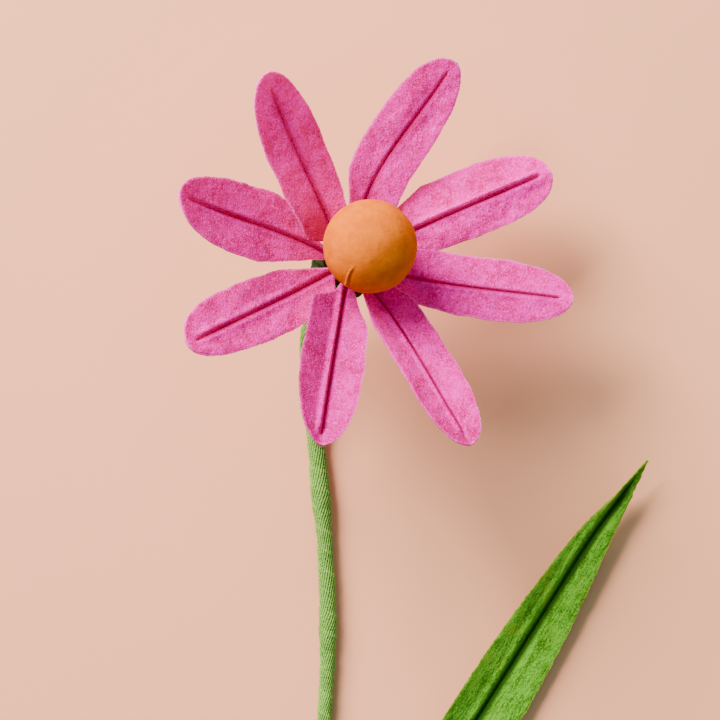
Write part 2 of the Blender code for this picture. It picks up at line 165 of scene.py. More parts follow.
class Finish:
    """A material that is being wired up round its Principled shader."""

    def __init__(self, name, **constants):
        self.material = bpy.data.materials.new(name)
        self.material.use_nodes = True
        self.tree = self.material.node_tree
        self.shader = self.tree.nodes["Principled BSDF"]
        for socket, value in constants.items():
            self.put(self.shader.inputs[socket.replace("_", " ")], value)

    def put(self, socket, value):
        if isinstance(value, Value):
            self.tree.links.new(value.socket, socket)
        else:
            socket.default_value = value

    def add(self, kind, settings=None, sockets=None, output=0):
        """One node: its settings first, then the numbers or links of its sockets."""
        node = self.tree.nodes.new(kind)
        for name, value in (settings or {}).items():
            setattr(node, name, value)
        for name, value in (sockets or {}).items():
            self.put(node.inputs[name], value)
        return Value(self, node.outputs[output])

    def noise(self, where, size, detail=2.0, roughness=0.55, stretch=None):
        """Soft random values of about 0 to 1, with lumps of this size in metres."""
        if stretch:
            where = self.add(
                "ShaderNodeMapping", {"vector_type": "POINT"}, {"Vector": where, "Scale": stretch}
            )
        sockets = {"Vector": where, "Scale": 1 / size, "Detail": detail, "Roughness": roughness}
        return self.add("ShaderNodeTexNoise", None, sockets)

    def between(self, value, low, high, start=0.0, end=1.0):
        """Eases from start to end as the value goes from low to high."""
        settings = {"interpolation_type": "SMOOTHSTEP"}
        sockets = {0: value, 1: low, 2: high, 3: start, 4: end}
        return self.add("ShaderNodeMapRange", settings, sockets)

    def colours(self, mask, dark, light):
        """A colour that goes from dark to light as the mask goes from 0 to 1."""
        colour = [(*c, 1.0) if isinstance(c, tuple) else c for c in (dark, light)]
        sockets = {0: mask, 6: colour[0], 7: colour[1]}
        return self.add("ShaderNodeMix", {"data_type": "RGBA"}, sockets, output=2)

    def scaled(self, colour, share):
        """The colour made darker or lighter by a share."""
        sockets = {"Vector": colour, "Scale": share}
        return self.add("ShaderNodeVectorMath", {"operation": "SCALE"}, sockets)

    def attribute(self, name, output="Fac"):
        return self.add("ShaderNodeAttribute", {"attribute_name": name}, None, output)

    def place(self):
        return self.add("ShaderNodeTexCoord", None, None, "Object")

    def relief(self, height, depth, strength=1.0, under=None):
        """Raises the surface by the height value times a depth in metres."""
        sockets = {"Height": height, "Distance": depth, "Strength": strength}
        if under:
            sockets["Normal"] = under
        return self.add("ShaderNodeBump", None, sockets)

    def thin(self, share, colour, **links):
        """Lets this share of the light through, as paper does, then finishes as done() does."""
        glow = self.add("ShaderNodeBsdfTranslucent", None, {"Color": (*colour, 1.0)})
        front = Value(self, self.shader.outputs[0])
        both = self.add("ShaderNodeMixShader", None, {0: share, 1: front, 2: glow})
        self.put(self.tree.nodes["Material Output"].inputs["Surface"], both)
        return self.done(**links)

    def done(self, **links):
        for socket, value in links.items():
            self.put(self.shader.inputs[socket.replace("_", " ")], value)
        print("finish:", self.material.name, len(self.tree.nodes), "nodes")
        return self.material


# %% [markdown]
# The petal paper is thick and fibrous, a little like felt. Short fibres lie in every direction, so its pink
# is broken up in three sizes: broad patches, lumps the size of a grain of rice and fine specks, a few of
# them dark. Deep in the pinch the paper only sees more pink paper, so crimson is painted there as shade, and
# the cut edge is paler. Crimson is also painted as shade near the hub, where the petals shade each other,
# and each petal's pink is made lighter by its own amount, as painted light.

# %% Petal paper
PINK_DEEP = (0.45, 0.001, 0.13)
PINK_LIGHT = (0.84, 0.003, 0.40)
PINK_PALE = (0.94, 0.12, 0.58)
PINK_DARK = (0.20, 0.003, 0.07)
# painted shade: the crimson deep in the pinch
GROOVE_SHADE_CRIMSON = (0.27, 0.001, 0.06)
# painted shade: the crimson near the hub, where the petals shade each other
BASE_SHADE_RED = (0.32, 0.001, 0.038)
PINK_THROUGH = (0.80, 0.004, 0.36)  # the light that comes through the paper


def petal_paper():
    paper = Finish("pink_petal_paper", Roughness=0.9, Specular_IOR_Level=0.0)
    where = paper.place()
    patches = paper.noise(where, 6 * MM, 2.0)
    lumps = paper.noise(where, 1.6 * MM, 3.0, 0.6)
    specks = paper.noise(where, 0.42 * MM, 2.0, 0.6)
    ink = paper.noise(where, 0.9 * MM, 1.0, 0.5)
    fibres = paper.noise(where, 0.5 * MM, 3.0, 0.7, stretch=(1.0, 0.28, 1.0))
    broken = patches * 0.35 + lumps * 0.4 + specks * 0.45 + fibres * 0.25 - 0.22
    pink = paper.colours(paper.between(broken, 0.34, 0.62), PINK_DEEP, PINK_LIGHT)
    pink = paper.colours(paper.between(specks, 0.58, 0.70, 0.0, 0.75), pink, PINK_PALE)
    dark = paper.between(ink, 0.70, 0.76) * paper.between(specks, 0.45, 0.6)
    pink = paper.colours(dark * 0.6, pink, PINK_DARK)
    # Painted shade: crimson near the hub, mostly on each petal's left half.
    base_shade = paper.attribute("base_shade")
    pink = paper.colours(base_shade * 0.9, pink, BASE_SHADE_RED)
    # Painted shade: crimson deep in the pinch.
    pink = paper.colours(paper.attribute("groove") * (0.6 + lumps * 0.6), pink, GROOVE_SHADE_CRIMSON)
    rim = paper.between(paper.attribute("rim") + specks * 0.5, 0.75, 1.15)
    pink = paper.colours(rim * 0.45, pink, PINK_PALE)
    # Painted light: the whole pink is made lighter by the petal's own tone.
    pink = paper.scaled(pink, 1.0 + 0.32 * paper.attribute("tone"))
    grain = paper.relief(specks * 0.6 + fibres * 0.6 + lumps * 0.5, 0.36 * MM, 0.9)
    return paper.thin(0.35, PINK_THROUGH, Base_Color=pink, Normal=grain)


petal_finish = petal_paper()

# %% [markdown]
# The leaf is the same sort of paper in green. Its fibres run along the leaf, so its noise is stretched that
# way, with the leaf's own measures across and along it as the coordinates.

# %% Leaf paper
GREEN_DEEP = (0.034, 0.105, 0.002)
GREEN_LIGHT = (0.13, 0.36, 0.020)
GREEN_YELLOW = (0.17, 0.25, 0.006)
GREEN_GROOVE_SHADE = (0.011, 0.050, 0.001)
GREEN_RIM = (0.30, 0.34, 0.02)
GREEN_THROUGH = (0.10, 0.28, 0.01)


def leaf_paper():
    paper = Finish("green_leaf_paper", Roughness=0.9, Specular_IOR_Level=0.05)
    where = paper.place()
    along = paper.attribute("along", "Vector")
    streaks = paper.noise(along, 0.45 * MM, 3.0, 0.65, stretch=(1.0, 0.2, 1.0))
    broad = paper.noise(along, 2.2 * MM, 2.0, 0.5, stretch=(1.0, 0.16, 1.0))
    specks = paper.noise(where, 0.45 * MM, 2.0, 0.65)
    patches = paper.noise(where, 5 * MM, 2.0)
    broken = streaks * 0.5 + specks * 0.5 + broad * 0.35 + patches * 0.2 - 0.26
    green = paper.colours(paper.between(broken, 0.34, 0.62), GREEN_DEEP, GREEN_LIGHT)
    yellow = paper.between(patches * 0.5 + streaks * 0.5, 0.50, 0.64)
    # Yellow patches, more on the left half: partly a real yellow tint, partly painted shade that darkens that
    # half.
    green = paper.colours(yellow * paper.attribute("tone"), green, GREEN_YELLOW)
    # Painted shade: the groove darkened.
    green = paper.colours(paper.attribute("groove") * (0.72 + streaks * 0.5), green, GREEN_GROOVE_SHADE)
    rim = paper.between(paper.attribute("rim") + specks * 0.5, 0.75, 1.15)
    green = paper.colours(rim * 0.6, green, GREEN_RIM)
    grain = paper.relief(specks * 0.7 + streaks * 1.0, 0.34 * MM, 0.9)
    return paper.thin(0.08, GREEN_THROUGH, Base_Color=green, Normal=grain)


leaf_finish = leaf_paper()


# %% [markdown]
# The stem tape is a narrow woven tape of green thread. Its threads run almost along the stem, as ribs that
# the mesh has, and each rib is a row of tiny stitches, which are finer than the mesh and are left to the
# material.

# %% Stem tape
TAPE_DEEP = (0.016, 0.075, 0.003)
TAPE_LIGHT = (0.25, 0.44, 0.07)
# painted shade: the hub lies in the petals' shade, so its tape is painted darker
HUB_PAINTED_SHADE = 0.9  # how much darker the tape is on the hub than on the stem


def stem_tape():
    tape = Finish("green_stem_tape", Roughness=0.85, Specular_IOR_Level=0.08)
    where = tape.place()
    rib = tape.attribute("rib")
    along = tape.attribute("along", "Vector")
    stitches = tape.noise(along, 0.3 * MM, 1.0, 0.5, stretch=(1.0, 0.75, 1.0))
    patches = tape.noise(where, 3.5 * MM, 2.0)
    fuzz = tape.noise(where, 0.35 * MM, 2.0, 0.6)
    light = tape.between(rib * 0.45 + stitches * 0.8 + patches * 0.4 + fuzz * 0.3, 0.62, 1.25)
    green = tape.colours(light, TAPE_DEEP, TAPE_LIGHT)
    # Painted shade on the hub, fading out down the stem.
    green = tape.scaled(green, 1.0 - HUB_PAINTED_SHADE * tape.attribute("shade"))
    grain = tape.relief(stitches * 0.9 + fuzz * 0.5, 0.28 * MM, 1.0)
    return tape.done(Base_Color=green, Normal=grain)


tape_finish = stem_tape()


# %% [markdown]
# The ball's cover is soft stretched paper: almost smooth, with a very fine nap that shows where the light
# grazes it. Pressed cotton and steel wire are hidden or seen only from behind, and get simpler finishes.

# %% Ball cover, cotton and wire
ORANGE_DEEP, ORANGE_LIGHT = (0.50, 0.088, 0.001), (0.60, 0.125, 0.001)
# painted highlight on the tuck's ridge and painted shade in the valley beside it
ORANGE_TUCK_HIGHLIGHT, ORANGE_CREASE_SHADE = (0.74, 0.17, 0.004), (0.36, 0.045, 0.001)
COTTON_DEEP, COTTON_LIGHT = (0.74, 0.70, 0.62), (0.90, 0.87, 0.81)
STEEL_DEEP, STEEL_LIGHT = (0.42, 0.42, 0.43), (0.62, 0.62, 0.63)


def ball_paper():
    cover = Finish("orange_ball_cover", Roughness=0.8, Specular_IOR_Level=0.0)
    where = cover.place()
    nap = cover.noise(where, 0.35 * MM, 3.0, 0.6)
    soft = cover.noise(where, 2.5 * MM, 2.0)
    mix = cover.between(soft * 0.6 + nap * 0.4, 0.35, 0.65)
    orange = cover.colours(mix, ORANGE_DEEP, ORANGE_LIGHT)
    # Painted highlight along the tuck's ridge and lip, painted shade in its valley.
    orange = cover.colours(cover.attribute("tuck") * 0.6, orange, ORANGE_TUCK_HIGHLIGHT)
    orange = cover.colours(cover.attribute("crease") * 0.7, orange, ORANGE_CREASE_SHADE)
    grain = cover.relief(nap * 0.6 + soft * 0.4, 0.14 * MM, 0.8)
    return cover.done(Base_Color=orange, Normal=grain)


def pressed_cotton():
    cotton = Finish("pressed_cotton", Roughness=0.95)
    lumps = cotton.noise(cotton.place(), 0.8 * MM, 3.0)
    white = cotton.colours(lumps, COTTON_DEEP, COTTON_LIGHT)
    return cotton.done(Base_Color=white, Normal=cotton.relief(lumps, 0.2 * MM))


def steel_wire():
    steel = Finish("steel_wire", Metallic=1.0)
    drawn = steel.noise(steel.place(), 0.6 * MM, 2.0)
    grey = steel.colours(drawn, STEEL_DEEP, STEEL_LIGHT)
    return steel.done(Base_Color=grey, Roughness=steel.between(drawn, 0.3, 0.7, 0.3, 0.5))


cover_finish, cotton_finish, wire_finish = ball_paper(), pressed_cotton(), steel_wire()


# %% [markdown]
# A paper piece starts as a flat grid. Solidify gives it a back and a cut edge, and then each point of front
# and back is moved to its place. Every point remembers where it was in the grid, so the same two numbers,
# the share along the piece and the column across it, say where it goes and which colours it takes.

# %% From a grid to a paper sheet
def paper_piece(name, rows, columns, place, finish):
    """place(row, column, is_back) gives a point, its four layer values and its place on the sheet."""
    bm = bmesh.new()
    for kind in ("groove", "rim", "base_shade", "tone"):
        bm.verts.layers.float.new(kind)
    for kind in ("along", "spot"):
        bm.verts.layers.float_vector.new(kind)
    layers = [bm.verts.layers.float[kind] for kind in ("groove", "rim", "base_shade", "tone")]
    along, spot = (bm.verts.layers.float_vector[kind] for kind in ("along", "spot"))
    front = bmesh.ops.create_grid(bm, x_segments=2 * columns, y_segments=rows, size=1.0)["verts"]
    for vert in front:
        vert[spot] = (round(vert.co.x * columns), round((vert.co.y + 1) / 2 * rows), 0.0)
    bmesh.ops.solidify(bm, geom=bm.faces[:], thickness=0.01)
    kept = set(front)
    for vert in bm.verts:
        column, row, _ = vert[spot]
        point, values, measure = place(round(row), round(column), vert not in kept)
        vert.co = point
        vert[along] = measure
        for layer, value in zip(layers, values):
            vert[layer] = value
    bm.verts.layers.float_vector.remove(bm.verts.layers.float_vector["spot"])
    bmesh.ops.recalc_face_normals(bm, faces=bm.faces[:])
    return finished(bm, name, finish)


def finished(bm, name, finish, sharp=60):
    """The bmesh as an object at the origin, in its material."""
    mesh = bpy.data.meshes.new(name)
    bm.to_mesh(mesh)
    bm.free()
    mesh.shade_smooth()
    mesh.set_sharp_from_angle(angle=math.radians(sharp))
    mesh.materials.append(finish)
    obj = bpy.data.objects.new(name, mesh)
    bpy.context.scene.collection.objects.link(obj)
    print(name, len(mesh.vertices), "points,", len(mesh.polygons), "faces")
    return obj


# %% [markdown]
# The pinch down the middle is the heart of every petal: two lips roll over into a slot, and the slot widens
# below into a channel that holds the wire. The lists give half of that section as (across, up) in
# millimetres, from the bottom of the channel out to the flat paper, for the front and for the rib that
# shows behind. The third list says where the same points lie across the paper once the pinch has opened
# flat.

# %% The pinched section
FRONT_PINCH = [
    (0.0, -1.44), (0.26, -1.38), (0.38, -1.08), (0.30, -0.78), (0.025, -0.62), (0.02, -0.46),
    (0.14, -0.28), (0.27, -0.12), (0.44, -0.02), (0.70, 0.0),
]
BACK_PINCH = [
    (0.0, -2.0), (0.5, -1.92), (0.84, -1.6), (0.92, -1.2), (0.92, -0.95), (0.93, -0.8),
    (0.96, -0.68), (1.03, -0.62), (1.15, -0.6), (1.35, -0.6),
]
FLAT_PINCH = [0.0, 0.08, 0.16, 0.24, 0.32, 0.41, 0.50, 0.60, 0.72, 0.85]
PINCH_STEPS = len(FRONT_PINCH) - 1
NECK_STEP = 5  # the last point of the narrow neck, past which the slot opens to the lips


def across_sheet(column, columns, width, pinch, groove, is_back):
    """(distance from the middle, height over the paper's plane) of one column, in metres."""
    step = abs(column)
    table = BACK_PINCH if is_back else FRONT_PINCH
    low = -SHEET / MM if is_back else 0.0
    knot, height = table[min(step, PINCH_STEPS)]
    if not is_back and step > NECK_STEP:
        knot *= groove
    knot = blend(FLAT_PINCH[min(step, PINCH_STEPS)], knot, pinch) * MM
    height = blend(low, height, pinch) * MM
    knot = min(knot, width * (0.5 + 0.45 * min(step, PINCH_STEPS) / PINCH_STEPS))
    if step > PINCH_STEPS:
        share = (step - PINCH_STEPS) / (columns - PINCH_STEPS)
        knot = blend(knot, width, share)
        height = low * MM
    return knot, height


print("rib width behind a petal in mm:", 2 * BACK_PINCH[4][0])


# %% [markdown]
# Eight petals, each with its own bend. Heading is the petal's turn round the flower's axis, rise how
# steeply it stands up, twist how far it turns about its own line, and bow how far that line swings to the
# left. Where a value has two numbers, they are for the left and the right half. Width is the half width in
# millimetres, peak the share of the reach where it is widest, and foot the share of that width at the hub.
# Cup is the fold at the hub and fold the fold further out, in degrees. Lips, slot and crumple say how the
# paper was handled: how high the rolled lips stand, how wide the slot is and how crumpled each half is. Tone
# is painted light, how much lighter the whole pink is made, and the last column is painted shade, how much
# crimson shade is painted near the hub.

# %% The petals' table
PETALS = [
    dict(name="petal_1", heading=64.6, rise=20.5, length=49.5, width=(7.3, 6.8), peak=(0.72, 0.5),
         foot=(0.6, 1.0), cup=(20, 20), fold=3, twist=0, bow=3.3, lips=(0.05, 0.1), slot=1.5,
         crumple=(1.0, 1.2), tone=0.5, base_shade=0.1),
    dict(name="petal_2", heading=24.6, rise=17.0, length=49.1, width=(8.7, 6.8), peak=(0.66, 0.74),
         foot=(0.9, 0.6), cup=(18, 20), fold=-11, twist=-4, bow=0.6, lips=(0.9, 0.1), slot=1.0,
         crumple=(1.0, 2.0), tone=0.8, base_shade=0.1),
    dict(name="petal_3", heading=-12.0, rise=17.0, length=49.0, width=(7.4, 6.5), peak=(0.66, 0.66),
         foot=(1.0, 0.6), cup=(16, 20), fold=-9, twist=4, bow=-0.9, lips=(0.1, 0.15), slot=0.9,
         crumple=(1.0, 0.8), tone=0.6, base_shade=0.1),
    dict(name="petal_4", heading=-64.6, rise=15.5, length=49.1, width=(6.2, 7.6), peak=(0.7, 0.7),
         foot=(0.8, 0.5), cup=(20, 28), fold=20, twist=-8, bow=1.5, lips=(0.15, 0.6), slot=0.65,
         crumple=(0.8, 0.9), tone=0.7, base_shade=0.1),
    dict(name="petal_5", heading=-107.5, rise=16.0, length=48.2, width=(6.2, 7.9), peak=(0.66, 0.56),
         foot=(0.65, 1.0), cup=(20, 20), fold=26, twist=6, bow=0.0, lips=(0.1, 1.0), slot=1.0,
         crumple=(0.9, 0.7), tone=0.0, base_shade=0.2),
    dict(name="petal_6", heading=-150.0, rise=14.5, length=49.6, width=(6.9, 7.1), peak=(0.52, 0.74),
         foot=(1.0, 0.3), cup=(8, 24), fold=2, twist=-4, bow=0.3, lips=(0.2, 0.3), slot=1.2,
         crumple=(1.1, 1.1), tone=1.3, base_shade=0.2),
    dict(name="petal_7", heading=172.2, rise=23.0, length=48.6, width=(8.7, 8.3), peak=(0.68, 0.56),
         foot=(0.5, 1.0), cup=(20, 4), fold=4, twist=4, bow=-1.3, lips=(0.1, 0.1), slot=1.5,
         crumple=(0.7, 0.7), tone=0.8, base_shade=0.5),
    dict(name="petal_8", heading=127.6, rise=28.0, length=47.2, width=(7.2, 7.0), peak=(0.6, 0.62),
         foot=(1.0, 0.2), cup=(6, 28), fold=2, twist=-6, bow=-0.9, lips=(0.05, 0.1), slot=1.4,
         crumple=(0.9, 1.0), tone=1.6, base_shade=1.0),
]
OVERLAP = {  # how far a half laps over its neighbour, and where that starts and is full, all in mm
    ("petal_8", 0): (4.8, 5, 10), ("petal_7", 1): (2.4, 9, 15), ("petal_6", 0): (3.0, 5, 10),
    ("petal_5", 1): (3.4, 8, 14), ("petal_4", 0): (1.4, 5, 10), ("petal_3", 0): (2.4, 5, 10),
    ("petal_2", 0): (2.4, 5, 10), ("petal_2", 1): (0.2, 5, 10), ("petal_1", 1): (1.4, 5, 10),
}
PETAL_START = 4.0 * MM
BASE_SLOPE = math.tan(math.radians(14.5))
RIB_HALF = 1.15 * MM
LEAST_HALF = RIB_HALF * 0.9
FOLD_FROM = 0.3 * MM  # from the middle, where a half starts to lift
FLAT_FROM, FLAT_FULL = 0.8 * MM, 2.6 * MM  # from the middle, where crumpling starts and is full
EDGE_ROUND = 0.5 * MM  # how far in from the cut edge it is rounded
LIP_MIDDLE, LIP_SPREAD = 1.0 * MM, 0.62 * MM
BASE_SHADE_FULL, BASE_SHADE_END = 9 * MM, 22 * MM
PETAL_ROWS, PETAL_COLUMNS = 150, 32


def petal_half_width(share, widest, peak, foot):
    """Narrow at the hub, widest at the peak's share of the reach, with a round tip."""
    start = 0.08
    if share < peak:
        grown = math.sin(math.pi / 2 * (share - start) / (peak - start))
        return widest * (foot + (1 - foot) * max(0.0, grown) ** 0.8)
    past = min(1.0, (share - peak) / (1 - peak))
    return widest * max(0.004, (1 - past**2.2)) ** (1 / 2.2)


print("petals:", len(PETALS))


# %% [markdown]
# A petal's line curls slowly upwards from the hub. At every row of the grid there is a small frame: the
# point on the line, the sideways direction and the direction out of the paper.

# %% A petal's line
def petal_row(petal, index):
    """(point, side, up, folded, pinch, share) at one row, in the petal's own axes: X along, Z the flower's."""
    rise = math.radians(petal["rise"])
    reach = petal["length"] * MM * math.cos(rise)
    curl = (math.tan(rise) - BASE_SLOPE) / reach
    r = PETAL_START + (reach - PETAL_START) * math.sin(math.pi / 2 * index / PETAL_ROWS)

    def bowed(at):
        share = min(1.0, (at - PETAL_START) / (reach - PETAL_START))
        return petal["bow"] * MM * 27 / 4 * share * (1 - share) ** 2

    offset = bowed(r)
    ahead = Vector((1.0, (bowed(r + MM) - offset) / MM, BASE_SLOPE + 2 * curl * r)).normalized()
    turn = Matrix.Rotation(math.radians(petal["twist"]) * smooth_step(r / reach * 2 - 0.4), 3, ahead)
    side = turn @ Vector((0.0, 0.0, 1.0)).cross(ahead).normalized()
    opened = smooth_step((r - PETAL_START) / (reach * 0.42))
    folded = [math.radians(blend(cup, petal["fold"], opened)) for cup in petal["cup"]]
    pinch = 1 - smooth_step(r, reach - 4.6 * MM, reach - 1.8 * MM)
    point = Vector((r, offset, r * (BASE_SLOPE + curl * r)))
    return point, side, ahead.cross(side), folded, pinch, r / reach


def rooms_beside(index):
    """Half the angle to the next petal on the left and on the right."""
    headings = [petal["heading"] for petal in PETALS]
    left = (headings[index - 1] - headings[index]) % 360
    right = (headings[index] - headings[(index + 1) % len(headings)]) % 360
    return math.radians(left / 2), math.radians(right / 2)


print("room beside petal 1 in degrees:", [round(math.degrees(a), 1) for a in rooms_beside(0)])


# %% [markdown]
# Handmade paper is never flat. Each half is crumpled by soft noise that fades out at the pinch, its edge
# waves a little and is cut slightly unevenly, and the fibres make the edge itself rough.

# %% Make the petals
def make_petal(index):
    petal = PETALS[index]
    room_left, room_right = rooms_beside(index)
    turn = Matrix.Rotation(math.radians(petal["heading"]), 3, "Z")
    rows = [petal_row(petal, i) for i in range(PETAL_ROWS + 1)]
    seed = Vector((17.3 * index, 5.1 * index, 0.0))

    def place(row, column, is_back):
        point, side, up, folded, pinch, share = rows[row]
        left = column > 0
        sign = 1 if left else -1
        half = 0 if left else 1
        room = (room_left, room_right)[half]
        room = point.x * math.tan(room) - sign * point.y - GAP - SHEET
        lap, lap_start, lap_full = OVERLAP.get((petal["name"], half), (0, 0, 1))
        room += lap * MM * smooth_step(point.x, lap_start * MM, lap_full * MM)
        natural = petal_half_width(share, petal["width"][half] * MM, petal["peak"][half], petal["foot"][half])
        width = max(min(natural, room), LEAST_HALF)
        ragged = noise.noise(Vector((share * 14, sign * 3.0, 0)) + seed) * 0.22 * MM
        ragged += noise.noise(Vector((share * 120, sign * 3.0, 5)) + seed) * 0.13 * MM
        width = width + ragged * smooth_step(share, 0.1, 0.3)
        away, height = across_sheet(column, PETAL_COLUMNS, width, pinch, petal["slot"], is_back)
        lip = petal["lips"][half] * MM * pinch * (0.5 + 0.5 * smooth_step(share, 0.05, 0.4))
        height += max(0.0, away - FOLD_FROM) * math.tan(folded[half])
        height += lip * bump(away, LIP_MIDDLE, LIP_SPREAD)
        flat = smooth_step(away, FLAT_FROM, FLAT_FULL)
        crumple = petal["crumple"][half]
        where = Vector((point.x, sign * away, 0)) / (5.5 * MM) + seed
        height += noise.noise(where) * 0.34 * MM * flat * crumple
        height += noise.noise(where * 2.7) * 0.12 * MM * flat * crumple
        height += noise.noise(where * 7.1) * 0.045 * MM * flat
        edge = smooth_step(width - away, EDGE_ROUND, 0.0)
        height += (0.14 if is_back else -0.14) * MM * edge
        spot = point + side * (sign * away) + up * height
        # Painted shade in the slot, where little light reaches.
        groove = (1 - smooth_step(away, 0.25 * MM * petal["slot"], 0.75 * MM * petal["slot"])) * pinch
        uneven = 0.4 * noise.noise(Vector((share * 6, 0, 9)) + seed)
        groove *= 0.9 + uneven - 0.3 * smooth_step(share, 0.75, 0.95)
        rim = 1 - smooth_step(width - away, 0.0, 0.9 * MM)
        rim = max(rim, smooth_step(share, 0.97, 1.0))
        # Painted shade near the hub, full on the left half and weaker on the right.
        base_shade = (1 - smooth_step(point.x, BASE_SHADE_FULL, BASE_SHADE_END)) * petal["base_shade"] * (1.0 if left else 0.3)
        measure = (sign * away, point.x, index * 0.1)
        # The tone is painted light, the same over the whole petal.
        values = (0.0 if is_back else groove, rim, base_shade, petal["tone"])
        return head_point + lean @ (turn @ spot), values, measure

    piece = paper_piece(petal["name"] + "_paper", PETAL_ROWS, PETAL_COLUMNS, place, petal_finish)
    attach(piece, "root")
    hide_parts(petal["name"])


for number in range(len(PETALS)):
    make_petal(number)


# %% [markdown]
# The leaf is made in the same way along its own curved line, which runs from its foot beside the stem to its
# long point. Its line is laid out from the ball's middle, as the stem's is.

# %% The leaf's line
MIDDLE_IN_DRAWING = Vector((2.131, 24.151, 38.739)) * MM  # of the ball, where the lines below were drawn
to_frame = ball_middle - MIDDLE_IN_DRAWING
LEAF_POINTS = [
    (-4.65, -148.0, 3.7), (-4.65, -143.0, 3.7), (-4.65, -137.0, 3.7), (-2.4, -126.0, 2.7), (5.0, -113.0, 2.2),
    (14.8, -98.5, 2.2), (26.4, -81.1, 2.2), (40.3, -59.0, 2.3), (52.5, -39.5, 4.1), (64.4, -22.6, 7.0),
]
LEAF_ROWS, LEAF_COLUMNS = 420, 26
LEAF_HALVES = (7.35 * MM, 8.1 * MM)  # this value and the next two are for the left and the right half
LEAF_RIDGES = (0.45, 0.1)  # height in mm of the soft ridge beside the groove
# the left half's larger share also darkens it, as painted shade
LEAF_TONES = (0.75, 0.3)  # how yellow the green is
LEAF_BARE = 0.1  # share of the length where the paper is only its pinched foot
LEAF_LEAST = 0.35 * MM
LEAF_SLOT = 1.5
LEAF_FOLD, LEAF_ROLL, LEAF_TIP_ROLL = 14, 9, 30  # degrees
TABLE_CLEARANCE = 0.02 * MM
leaf_line = spaced(smooth_path([Vector(p) * MM + to_frame for p in LEAF_POINTS], 40), LEAF_ROWS + 1)
leaf_length = sum((b - a).length for a, b in zip(leaf_line, leaf_line[1:]))
print("leaf length in mm:", round(leaf_length / MM, 1))


# %% [markdown]
# The leaf was folded along its middle and pinched as the petals were, so it goes through the same helpers.
# It rolls a little over its length, more so near the tip, and nothing of it goes below the table.

# %% Make the leaf
def leaf_half_width(share, widest):
    """The pinched foot, then a long slender blade drawn out to a point."""
    blade = (share - LEAF_BARE) / (1 - LEAF_BARE)
    if blade <= 0:
        return LEAST_HALF
    wide = widest * math.sin(math.pi * blade**0.9) ** 0.85
    return max(LEAST_HALF * (1 - blade), wide, LEAF_LEAST)


def make_leaf():
    frames = []
    for i, point in enumerate(leaf_line):
        ahead = (leaf_line[min(i + 1, LEAF_ROWS)] - leaf_line[max(i - 1, 0)]).normalized()
        side = Vector((0, 0, 1)).cross(ahead).normalized()
        share = i / LEAF_ROWS
        roll = blend(LEAF_ROLL * smooth_step(share, 0.12, 0.3), LEAF_TIP_ROLL, smooth_step(share, 0.84, 0.98))
        side = Matrix.Rotation(math.radians(roll), 3, ahead) @ side
        frames.append((point, side, ahead.cross(side)))

    def place(row, column, is_back):
        point, side, up = frames[row]
        share = row / LEAF_ROWS
        sign = 1 if column > 0 else -1
        half = 0 if column > 0 else 1
        width = leaf_half_width(share, LEAF_HALVES[half])
        ragged = noise.noise(Vector((share * 160, sign * 3.0, 1.7))) * 0.2 * MM
        ragged += noise.noise(Vector((share * 420, sign * 3.0, 6.1))) * 0.16 * MM
        width += ragged * smooth_step(share, 0.12, 0.2)
        left_over = leaf_length * (1 - share)
        pinch = smooth_step(left_over, 3.5 * MM, 11 * MM)
        away, height = across_sheet(column, LEAF_COLUMNS, width, pinch, LEAF_SLOT, is_back)
        height += max(0.0, away - FOLD_FROM) * math.tan(math.radians(LEAF_FOLD))
        flat = smooth_step(away, FLAT_FROM, FLAT_FULL)
        where = Vector((share * leaf_length / (14 * MM), sign * away / (6 * MM), 4.4))
        height += noise.noise(where) * 0.4 * MM * flat
        height += noise.noise(where * 4.3) * 0.1 * MM * flat
        height += LEAF_RIDGES[half] * MM * bump(away, 1.8 * MM, 0.8 * MM) * pinch
        edge = smooth_step(width - away, EDGE_ROUND, 0.0)
        height += (0.12 if is_back else -0.12) * MM * edge
        spot = point + side * (sign * away) + up * height
        spot.z = max(spot.z, TABLE_CLEARANCE)
        # Painted shade in the groove, darkest where the leaf is pinched.
        groove = (1 - smooth_step(away, 0.5 * MM, 1.45 * MM)) * (0.5 + 0.5 * pinch)
        rim = 1 - smooth_step(width - away, 0.0, 0.7 * MM)
        measure = (sign * away, share * leaf_length, 0.0)
        return spot, (0.0 if is_back else groove, rim, 0.0, LEAF_TONES[half]), measure

    piece = paper_piece("leaf_paper", LEAF_ROWS, LEAF_COLUMNS, place, leaf_finish)
    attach(piece, "root")
    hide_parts("leaf")


make_leaf()

# %% [markdown]
# The stem tape is wound round and round the wires in a slow spiral. Each turn laps the last, which leaves a
# low step, and where the hand stopped or started the winding is thicker. The hub behind the petals is the
# same tape, wound many times over the petal wires.

# %% The stem's line and thickness
STEM_POINTS = [
    (-8.7, 13.8, 14.4), (-11.0, 8.0, 10.9), (-11.7, 2.0, 7.7), (-11.1, -6.0, 4.6), (-10.3, -14.0, 2.6),
    (-9.7, -21.0, 1.8), (-8.8, -31.0, 1.8), (-8.0, -40.0, 1.8), (-7.4, -53.0, 1.8), (-7.3, -66.0, 1.8),
    (-7.9, -80.0, 1.8), (-8.4, -100.0, 1.8), (-8.3, -120.0, 2.1), (-8.0, -136.0, 2.65), (-8.0, -150.0, 2.65),
    (-7.2, -164.0, 2.0), (-5.0, -180.0, 1.8), (-1.0, -205.0, 1.8), (2.5, -220.0, 1.8), (6.0, -235.0, 1.8),
]
HUB_LINE = [0.0, -3 * MM, -6 * MM, -9 * MM]
WRAP_START = 0.4 * MM  # close enough behind the petals for the tape to meet their ribs
HUB_RADIUS, STEM_RADIUS, BORE_RADIUS = 7.0 * MM, 1.8 * MM, 1.3 * MM
HUB_FULL = 4 * MM  # behind the petals, where the hub is thickest
HUB_SHOULDER, HUB_SHOULDER_LENGTH = 1.1 * MM, 2.3 * MM
